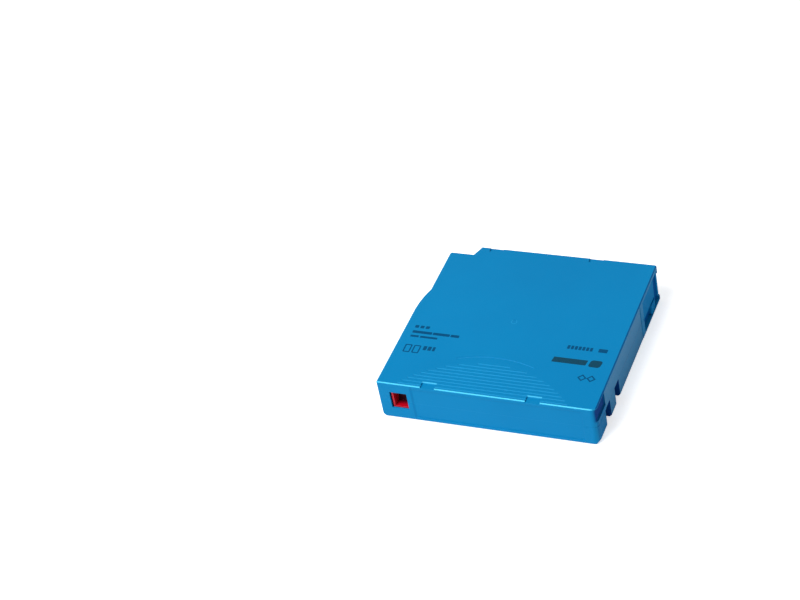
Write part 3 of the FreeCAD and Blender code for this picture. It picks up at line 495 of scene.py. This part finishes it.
# ---------------------------------------------------------------- materials
def moulded_polycarbonate(name, body, shaded, hollows, gloss, dullness):
    """Polycarbonate moulded in a spark-eroded tool: an even satin blue whose fine grain kills the gloss.
    The bevels are polished, so they draw a bright line; they are also painted paler, a painted highlight.
    Painted shade, painted sheen and painted highlights lie over the blue where the layers say. The real
    grain is about 0.05 mm; it is drawn coarser so that it still shows from a metre away."""
    tint = linear(gloss_tint)
    material, add = new_material(name, IOR=1.585, Specular_IOR_Level=gloss, Specular_Tint=tint)
    point = add("TexCoord", out="Object")
    normal = add("Bevel", {"Radius": edge_round * MM}, samples=edge_samples)
    melt = add("TexNoise", {"Vector": point, "Scale": per_metre(melt_flow), "Detail": 3.0}, "Fac")
    grain_sockets = {"Vector": point, "Scale": per_metre(tool_grain), "Detail": 4.0, "Roughness": 0.6}
    grain = add("TexNoise", grain_sockets, "Fac")
    flats, sunk, notches, gate = side_flats(add), hollows(add), gripper_notches(add), gate_mark(add)
    bevels = polished_bevels(add)
    towards, away = groove_walls(add)

    # painted highlight on rounded edges, less in the grooves and on the right side; the gate ring is a real mark
    in_grooves = add("MapRange", [grip_grooves(add), 0.0, 1.0, edge_highlight, highlight_in_grooves])
    at_right = add("MapRange", [by_right_edge(add), 0.0, 1.0, 1.0, highlight_at_right])
    edges = all_of(add, highlighted_edges(add, normal), in_grooves, at_right)
    marks = any_of(add, all_of(add, brow_line(add), brow_highlight), all_of(add, gate, gate_wear))
    # over the blue: the melt's flow; painted sheen on the side flats; painted shade in the hollows, notches, label
    # ramp and grooves' back walls; painted highlights on edges, brow arc, bevels and grooves' front walls; painted
    # shade on the right side's parting line and lip bevel
    layers = (
        (add("MapRange", [melt, *noise_span]), shade_of(body)),
        (all_of(add, flats, flat_sheen), sheen_blue),
        (sunk, shaded),
        (all_of(add, notches, notch_shade), deep_blue),
        (all_of(add, label_ramp(add), ramp_shade), shaded),
        (all_of(add, away, groove_back_shade), shaded),
        (any_of(add, edges, marks), highlight_and_gate_blue),
        (any_of(add, bevels, all_of(add, towards, groove_front_shine)), bevel_highlight_blue),
        (all_of(add, thin_shadows(add), thin_shade), shaded),
    )
    colour = linear(body)
    for share, paint in layers:
        colour = add("Mix", {0: share, 6: colour, 7: linear(paint)}, 2, data_type="RGBA")

    satin = add("MapRange", [grain, *grain_span, dullness - satin_spread, dullness + satin_spread])
    smoother = any_of(add, all_of(add, flats, flat_smoothing), all_of(add, bevels, bevel_smoothing))
    satin = add("Math", [satin, smoother], operation="SUBTRACT")
    satin = add("Math", [any_of(add, sunk, notches), hollow_dulling, satin], operation="MULTIPLY_ADD")
    height = add("Math", [grain, gate], operation="ADD")
    relief = add("Bump", {"Height": height, "Strength": 0.25, "Distance": 0.02 * MM, "Normal": normal})
    return finished(material, Base_Color=colour, Roughness=satin, Normal=relief)


def moulded_acetal(name, body, thin, roughness, depths, recess=None):
    """Acetal straight from a polished tool: soft low sheen, slightly see-through, and its rounded edges
    painted paler as a painted highlight. Depths say how far red, green and blue light pass into it, by their
    share of the scatter's scale. The tool's polishing marks are about 0.02 mm apart and drawn coarser so
    that they show."""
    material, add = new_material(
        name,
        IOR=1.48,
        Specular_IOR_Level=0.35,
        Subsurface_Weight=0.12,
        Subsurface_Scale=0.6 * MM,
        Subsurface_Radius=depths,
    )
    point = add("TexCoord", out="Object")
    normal = add("Bevel", {"Radius": edge_round * MM}, samples=edge_samples)
    patch = add("TexNoise", {"Vector": point, "Scale": per_metre(acetal_patch), "Detail": 3.0}, "Fac")
    grain = add("TexNoise", {"Vector": point, "Scale": per_metre(acetal_grain), "Detail": 2.0}, "Fac")
    # painted highlight on the rounded edges; painted shade in a recess, where one is given
    layers = [(patch, shade_of(body)), (all_of(add, highlighted_edges(add, normal), highlight_on_edges), thin)]
    if recess:
        layers.insert(1, (recess(add), recess_shade))
    colour = linear(body)
    for share, paint in layers:
        colour = add("Mix", {0: share, 6: colour, 7: linear(paint)}, 2, data_type="RGBA")
    sheen = add("MapRange", [patch, *noise_span, roughness - 0.04, roughness + 0.05])
    relief = add("Bump", {"Height": grain, "Strength": 0.15, "Distance": 0.01 * MM, "Normal": normal})
    return finished(material, Base_Color=colour, Roughness=sheen, Normal=relief)


def natural_polycarbonate():
    """Moulded glass-filled polycarbonate without pigment: milky white, a little light passes into it.
    The fibres are about 0.2 mm long and drawn longer so that they show."""
    material, add = new_material(
        "moulded_polycarbonate_natural",
        IOR=1.585,
        Specular_IOR_Level=0.4,
        Subsurface_Weight=0.25,
        Subsurface_Scale=1.2 * MM,
    )
    normal = add("Bevel", {"Radius": edge_round * MM}, samples=edge_samples)
    point = add("TexCoord", out="Object")
    fibre_sockets = {"Vector": point, "Scale": per_metre(glass_fibre), "Detail": 6.0, "Roughness": 0.7}
    fibre = add("TexNoise", fibre_sockets, "Fac")
    colour = add("Mix", {0: fibre, 6: linear("#E2E5E2"), 7: linear("#D3D7D4")}, 2, data_type="RGBA")
    sheen = add("MapRange", [fibre, *noise_span, 0.34, 0.46])
    relief = add("Bump", {"Height": fibre, "Strength": 0.2, "Distance": 0.015 * MM, "Normal": normal})
    return finished(material, Base_Color=colour, Roughness=sheen, Normal=relief)


def coated_polyester():
    """Polyester film with a metal-particle coat, wound edge on: brown black with fine shiny rings.
    One layer is 0.005 mm; the rings are drawn further apart so that they show. On the free stretch of
    tape the same rings draw upright lines."""
    material, add = new_material("coated_polyester_film", IOR=1.64, Specular_IOR_Level=0.5)
    to_axis = (-reel_centre.x, -reel_centre.y, 0.0)
    centred = add("Mapping", {"Vector": add("TexCoord", out="Object"), "Location": to_axis})
    scale = 2 * math.pi / (wave_radians * winding_pitch * MM)
    ring_sockets = {"Vector": centred, "Scale": scale, "Distortion": 0.6, "Detail": 2.0}
    rings = add("TexWave", ring_sockets, "Fac", wave_type="RINGS", rings_direction="Z")
    colour = add("Mix", {0: rings, 6: linear("#1B1716"), 7: linear("#37302C")}, 2, data_type="RGBA")
    sheen = add("MapRange", [rings, 0.0, 1.0, 0.24, 0.42])
    relief = add("Bump", {"Height": rings, "Strength": 0.3, "Distance": 0.02 * MM})
    return finished(material, Base_Color=colour, Roughness=sheen, Normal=relief)


def worked_steel(name, body, roughness, mark, stretch=(1.0, 1.0, 1.0)):
    """Steel as it leaves its last process: fine marks run along the drawn or rolled way. They are about
    0.02 mm apart and drawn coarser so that they show."""
    material, add = new_material(name, Metallic=1.0, Anisotropic=0.35)
    normal = add("Bevel", {"Radius": edge_round * MM}, samples=edge_samples)
    along = add("Mapping", {"Vector": add("TexCoord", out="Object"), "Scale": stretch})
    mark_sockets = {"Vector": along, "Scale": per_metre(mark), "Detail": 5.0, "Roughness": 0.65}
    marks = add("TexNoise", mark_sockets, "Fac")
    colour = add("Mix", {0: marks, 6: linear(body), 7: linear(shade_of(body))}, 2, data_type="RGBA")
    sheen = add("MapRange", [marks, *noise_span, roughness - 0.07, roughness + 0.08])
    relief = add("Bump", {"Height": marks, "Strength": 0.2, "Distance": 0.008 * MM, "Normal": normal})
    return finished(material, Base_Color=colour, Roughness=sheen, Normal=relief)


def masked_board():
    """Glass-fibre board under green solder mask: the aerial's copper turns show through as paler lines."""
    material, add = new_material("solder_masked_board", Specular_IOR_Level=0.5)
    low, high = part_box("memory_board")
    point = add("TexCoord", out="Object")
    centred = add("Mapping", {"Vector": point, "Location": tuple(-(low + high) / 2)})
    turned = {"Vector": centred, "Angle": math.radians(45)}
    level = add("SeparateXYZ", [add("VectorRotate", turned, rotation_type="X_AXIS")], None)
    half_length = (high.x - low.x) / 2
    half_width = (high.z - low.z) / math.sqrt(2) - board_thickness * MM / 2
    from_edges = [
        add("Math", [half, add("Math", [level[axis]], operation="ABSOLUTE")], operation="SUBTRACT")
        for axis, half in (("X", half_length), ("Y", half_width))
    ]
    inward = add("Math", from_edges, operation="MINIMUM")
    folded = add("Math", [inward, aerial_pitch * MM / 2], operation="PINGPONG")
    track = add("Math", [folded, aerial_track * MM / 2], operation="LESS_THAN")
    copper = all_of(add, track, add("Math", [inward, aerial_band * MM], operation="LESS_THAN"))
    weave = add("TexNoise", {"Vector": point, "Scale": per_metre(board_weave), "Detail": 2.0}, "Fac")
    colour = add("Mix", {0: copper, 6: linear("#0E4A2B"), 7: linear("#2F7A49")}, 2, data_type="RGBA")
    sheen = add("MapRange", [weave, *noise_span, 0.25, 0.35])
    relief = add("Bump", {"Height": copper, "Strength": 0.4, "Distance": 0.03 * MM})
    return finished(material, Base_Color=colour, Roughness=sheen, Normal=relief)


def cast_epoxy():
    """Black epoxy cast over the memory chip: dull, with the grain of its filler. The real grains are about
    0.03 mm and drawn coarser so that they show."""
    material, add = new_material("cast_epoxy_black", Specular_IOR_Level=0.4)
    normal = add("Bevel", {"Radius": edge_round * MM}, samples=edge_samples)
    point = add("TexCoord", out="Object")
    filler = add("TexNoise", {"Vector": point, "Scale": per_metre(resin_filler), "Detail": 4.0}, "Fac")
    colour = add("Mix", {0: filler, 6: linear("#17181A"), 7: linear("#0E0F10")}, 2, data_type="RGBA")
    sheen = add("MapRange", [filler, *noise_span, 0.42, 0.6])
    relief = add("Bump", {"Height": filler, "Strength": 0.3, "Distance": 0.02 * MM, "Normal": normal})
    return finished(material, Base_Color=colour, Roughness=sheen, Normal=relief)


def pad_print_ink(name, body):
    """Dark ink put on by a silicone pad: flat, matt, thinner in places so that the blue comes through."""
    material, add = new_material(name, Specular_IOR_Level=0.05)
    point = add("TexCoord", out="Object")
    patch_sockets = {"Vector": point, "Scale": per_metre(ink_patch), "Detail": 4.0, "Roughness": 0.65}
    patches = add("TexNoise", patch_sockets, "Fac")
    thin = add("MapRange", [patches, *ink_patch_span, 0.0, ink_thin_most])
    colour = add("Mix", {0: thin, 6: linear(body), 7: linear(ink_over_blue)}, 2, data_type="RGBA")
    sheen = add("MapRange", [thin, 0.0, ink_thin_most, 0.8, 0.65])
    return finished(material, Base_Color=colour, Roughness=sheen)


def matt_paper():
    """Matt white background paper. Its tooth is about 0.2 mm and drawn coarser so that it shows. The paper
    glows a little for the camera, which sees it white, and the shadow on it stays faint."""
    material, add = new_material(
        "matt_paper", Specular_IOR_Level=0.1, Roughness=0.95, Emission_Color=linear("#FFFFFF")
    )
    path = add("LightPath", out=None)
    mirrored = any_of(add, path["Is Glossy Ray"], path["Is Transmission Ray"])
    in_gloss = all_of(add, mirrored, floor_glow_in_gloss)
    glow = add("Math", [path["Is Camera Ray"], floor_glow, in_gloss], operation="MULTIPLY_ADD")
    point = add("TexCoord", out="Object")
    tooth = add("TexNoise", {"Vector": point, "Scale": per_metre(paper_tooth), "Detail": 3.0}, "Fac")
    colour = add("Mix", {0: tooth, 6: linear("#F4F5F6"), 7: linear("#F2F3F4")}, 2, data_type="RGBA")
    return finished(material, Base_Color=colour, Emission_Strength=glow)


def finish_nodes(material, *names):
    """Gives CAD nodes their material."""
    for name in names:
        slots = cad_nodes[name].material_slots
        if not slots:
            cad_nodes[name].data.materials.append(material)
        for slot in slots:
            slot.material = material


case_blue = moulded_polycarbonate(
    "moulded_polycarbonate_blue",
    "#0082BC",
    shaded="#003981",
    hollows=case_hollows,
    gloss=0.16,
    dullness=0.51,
)
door_blue = moulded_polycarbonate(
    "moulded_polycarbonate_door",
    "#0080C0",
    shaded="#0058A0",
    hollows=door_hollows,
    gloss=0.06,
    dullness=0.7,
)
slider_red = moulded_acetal(
    "moulded_acetal_red",
    "#C6001F",
    thin="#F07C92",
    roughness=0.36,
    depths=(0.9, 0.1, 0.1),
    recess=slider_recess,
)
brake_white = moulded_acetal(
    "moulded_acetal_white", "#EBE7DC", thin="#F6F3EA", roughness=0.38, depths=(1.0, 0.9, 0.8)
)
clip_black = moulded_acetal(
    "moulded_acetal_black", "#1A1A1C", thin="#2C2C30", roughness=0.34, depths=(0.2, 0.2, 0.2)
)
reel_white = natural_polycarbonate()
tape_film = coated_polyester()
turned_steel = worked_steel("turned_steel", "#C3C4C6", 0.26, mill_mark, stretch=(1.0, 1.0, 0.15))
rolled_steel = worked_steel("rolled_steel_plate", "#B9BBBE", 0.34, mill_mark, stretch=(0.1, 1.0, 1.0))
spring_steel = worked_steel("drawn_spring_steel", "#A6A8AB", 0.3, spring_mark)
zinc_plate = worked_steel("zinc_plated_steel", "#AEB2BA", 0.4, spring_mark)
board_green = masked_board()
chip_black = cast_epoxy()
bold_ink = pad_print_ink("pad_print_ink_bold", "#17404F")
fine_ink = pad_print_ink("pad_print_ink_fine", "#064C78")

finish_nodes(case_blue, "lower_shell", "upper_shell")
finish_nodes(door_blue, "door")
finish_nodes(slider_red, "write_protect_slider")
finish_nodes(reel_white, "reel_hub", "upper_flange")
finish_nodes(rolled_steel, "reel_plate")
finish_nodes(tape_film, "tape_pack", "tape_leader")
finish_nodes(brake_white, "brake_button", "release_pad")
finish_nodes(turned_steel, "leader_pin")
finish_nodes(clip_black, "leader_clip")
finish_nodes(spring_steel, "pin_retainer")
finish_nodes(zinc_plate, "case_screws")
finish_nodes(board_green, "memory_board")
finish_nodes(chip_black, "memory_chip")


# ---------------------------------------------------------------- new pieces
def new_piece(name, mesh_maker, material, body):
    """Object whose mesh the maker fills, riding on a body."""
    mesh = bpy.data.meshes.new(name)
    maker = bmesh.new()
    mesh_maker(maker)
    bmesh.ops.recalc_face_normals(maker, faces=maker.faces)
    maker.to_mesh(mesh)
    maker.free()
    mesh.materials.append(material)
    piece = bpy.data.objects.new(name, mesh)
    bpy.context.scene.collection.objects.link(piece)
    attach(piece, body)
    return piece


def coil_spring(start, along, length, mean_radius, wire, coils):
    """Compression spring with one closed coil at each end, made from the start along an axis."""
    side = along.orthogonal().normalized()
    up = along.cross(side)
    turns = coils + 2
    rise = (length - 3 * wire) / coils

    def height(turn):
        """Where the wire's centre is after some turns: touching coils at each end, even ones between."""
        if turn < 1:
            return wire / 2 + turn * wire
        if turn > turns - 1:
            return length - wire / 2 - (turns - turn) * wire
        return wire * 1.5 + (turn - 1) * rise

    def make(maker):
        rings = []
        for step in range(turns * steps_a_turn + 1):
            turn = step / steps_a_turn
            out = side * math.cos(2 * math.pi * turn) + up * math.sin(2 * math.pi * turn)
            centre = start + along * height(turn) + out * mean_radius
            spin = [2 * math.pi * i / wire_sides for i in range(wire_sides)]
            points = [centre + (out * math.cos(a) + along * math.sin(a)) * wire / 2 for a in spin]
            rings.append([maker.verts.new(point) for point in points])
        for ring, following in zip(rings, rings[1:]):
            for i in range(wire_sides):
                j = (i + 1) % wire_sides
                maker.faces.new((ring[i], ring[j], following[j], following[i])).smooth = True
        maker.faces.new(rings[0])
        maker.faces.new(rings[-1])

    return make


def spring_piece(node, name, axis, wire, coils, joint):
    """Coil spring in place of a plain CAD one."""
    low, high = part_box(node)
    centre = (low + high) / 2
    axis_index = max(range(3), key=lambda i: abs(axis[i]))
    across = (axis_index + 1) % 3
    length = high[axis_index] - low[axis_index]
    start = centre.copy()
    start[axis_index] = low[axis_index]
    mean_radius = (high[across] - low[across]) / 2 - wire * MM / 2
    maker = coil_spring(start, Vector(axis), length, mean_radius, wire * MM, coils)
    piece = new_piece(name, maker, spring_steel, "case")
    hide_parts(node)
    anchor = centre.copy()
    anchor[axis_index] = high[axis_index] if joints[joint]["axis"][axis_index] > 0 else low[axis_index]
    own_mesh(piece)


spring_piece("brake_spring", "brake_coil_spring", (0, 0, 1), brake_wire, brake_coils, "brake_lift")
spring_piece("door_spring", "door_coil_spring", (0, 1, 0), door_wire, door_coils, "door_slide")


# ---------------------------------------------------------------- printed marks, in millimetres
def rounded_block(left, right, near, far, corner=ink_corner, lean=0.0):
    """Outline of a block with rounded corners, which leans by a share of its height."""
    corners = ((right, far, 0), (left, far, 90), (left, near, 180), (right, near, 270))
    outline = []
    for x, y, first in corners:
        centre_x = x - corner if first in (0, 270) else x + corner
        centre_y = y - corner if first in (0, 90) else y + corner
        for step in range(corner_steps + 1):
            angle = math.radians(first + 90 * step / corner_steps)
            place_y = centre_y + corner * math.sin(angle)
            place_x = centre_x + corner * math.cos(angle) + lean * (place_y - near)
            outline.append((place_x, place_y))
    return outline


def diamond(x, y, size):
    """Outline of a square that stands on its corner."""
    return [(x + size, y), (x, y + size), (x - size, y), (x, y - size)]


def lay_ink(maker, outline, hole=None):
    """Lays a film of ink on the top face, inside an outline and outside a hole of as many points."""
    levels = (cad_high.z, cad_high.z + ink_thickness * MM)
    outer = [[maker.verts.new((x * MM, y * MM, z)) for x, y in outline] for z in levels]
    inner = [[maker.verts.new((x * MM, y * MM, z)) for x, y in hole] for z in levels] if hole else None
    for low, high in [outer] + ([inner] if inner else []):
        for i in range(len(low)):
            j = (i + 1) % len(low)
            maker.faces.new((low[i], low[j], high[j], high[i]))
    for level in (0, 1):
        if not inner:
            maker.faces.new(outer[level])
            continue
        for i in range(len(outline)):
            j = (i + 1) % len(outline)
            maker.faces.new((outer[level][i], outer[level][j], inner[level][j], inner[level][i]))


def word_row(maker, left, from_front, height, gap, lengths):
    """A row of plain blocks, one for each length."""
    y = print_front + from_front
    for length in lengths:
        lay_ink(maker, rounded_block(left, left + length, y - height / 2, y + height / 2))
        left += length + gap


def left_marks(maker):
    """Marks by the left edge: a short row, two lines, then two thin frames with three small blocks."""
    word_row(maker, print_left, from_front=40.0, height=1.8, gap=0.8, lengths=[1.9] * 3)
    word_row(maker, print_left, from_front=36.3, height=1.7, gap=0.5, lengths=[9.8, 8.4, 4.2])
    word_row(maker, print_left, from_front=33.3, height=1.3, gap=0.7, lengths=[4.2, 8.6])
    near, far = print_front + 22.0, print_front + 27.4
    for left in (print_left, print_left + frame_pitch):
        right = left + frame_width
        inside = (left + frame_stroke, right - frame_stroke, near + frame_stroke, far - frame_stroke)
        outer = rounded_block(left, right, near, far, corner=frame_stroke)
        lay_ink(maker, outer, rounded_block(*inside, corner=frame_stroke / 2))
    word_row(maker, print_left + 9.2, from_front=26.0, height=2.8, gap=0.6, lengths=[1.7, 1.7, 1.3])


def right_marks(maker):
    """Marks by the right edge: a broken line with a block, and two small diamonds."""
    word_row(maker, print_right - 19.1, from_front=38.5, height=2.4, gap=0.5, lengths=[1.3] * 7)
    word_row(maker, print_right - 4.2, from_front=38.5, height=2.4, gap=0.0, lengths=[4.2])
    y = print_front + 19.6
    for x in (print_right - 2.2, print_right - 6.5):
        lay_ink(maker, diamond(x, y, diamond_reach), diamond(x, y, diamond_hole))


def bold_marks(maker):
    """The bold bar between them, which ends in a rounder block."""
    bar = (print_right - 23.6, print_right - 7.4, print_front + 27.7, print_front + 31.1)
    block = (print_right - 6.2, print_right - 0.6, print_front + 27.1, print_front + 31.7)
    lay_ink(maker, rounded_block(*bar, lean=bold_lean))
    lay_ink(maker, rounded_block(*block, corner=1.3, lean=bold_lean))


new_piece("printed_marks_left", left_marks, fine_ink, "case")
new_piece("printed_marks_right", right_marks, fine_ink, "case")
new_piece("printed_bar_right", bold_marks, bold_ink, "case")


# ---------------------------------------------------------------- studio
def direction(azimuth, elevation):
    """Unit vector from the object towards a place round it; azimuth 0 is in front of the label face."""
    a, e = math.radians(azimuth), math.radians(elevation)
    return Vector((math.sin(a) * math.cos(e), -math.cos(a) * math.cos(e), math.sin(e)))


def place_floor():
    """White paper under the cartridge."""
    half = floor_size * MM / 2
    mesh = bpy.data.meshes.new("floor")
    corners = [(-half, -half), (half, -half), (half, half), (-half, half)]
    level = cad_low.z - floor_gap * MM
    mesh.from_pydata([(x, y, level) for x, y in corners], [], [(0, 1, 2, 3)])
    mesh.materials.append(matt_paper())
    floor = bpy.data.objects.new("floor", mesh)
    bpy.context.scene.collection.objects.link(floor)


def place_key_light():
    """Soft box in front and to the left, which also draws the bright line along the label edge."""
    lamp = bpy.data.lights.new("key_light", "AREA")
    lamp.shape = "SQUARE"
    lamp.size = key_size * MM
    lamp.energy = key_power
    holder = bpy.data.objects.new("key_light", lamp)
    towards = direction(key_azimuth, key_elevation)
    holder.location = middle + towards * key_distance * MM
    holder.rotation_euler = (-towards).to_track_quat("-Z", "Y").to_euler()
    bpy.context.scene.collection.objects.link(holder)


def set_world():
    """Even grey light on the object; white for what the camera, gloss and clear parts see."""
    world = bpy.data.worlds.new("studio")
    world.use_nodes = True
    tree = world.node_tree
    tree.nodes.clear()
    add = partial(add_node, tree)
    path = add("LightPath", out=None)
    seen = any_of(add, path["Is Camera Ray"], path["Is Glossy Ray"], path["Is Transmission Ray"])
    strength = add("MapRange", [seen, 0.0, 1.0, fill_strength, backdrop_strength])
    background = add("Background", {"Color": linear("#FFFFFF"), "Strength": strength})
    add("OutputWorld", {"Surface": background}, None)
    bpy.context.scene.world = world


def place_camera():
    """Camera at the viewing angle, rolled a little, with the cartridge right of the middle."""
    lens = bpy.data.cameras.new("camera")
    lens.lens = view_lens
    camera = bpy.data.objects.new("camera", lens)
    bpy.context.scene.collection.objects.link(camera)
    aim = middle + Vector((-aim_left_of_middle, aim_behind_middle, -aim_below_middle)) * MM
    back = direction(view_azimuth, view_elevation)
    camera.location = aim + back * view_distance * MM
    level = (-back).to_track_quat("-Z", "Y").to_matrix().to_4x4()
    roll = Matrix.Rotation(math.radians(-view_roll), 4, "Z")
    camera.rotation_euler = (level @ roll).to_euler()
    bpy.context.scene.camera = camera


place_floor()
place_key_light()
set_world()
place_camera()
bpy.context.scene.view_settings.view_transform = "Standard"
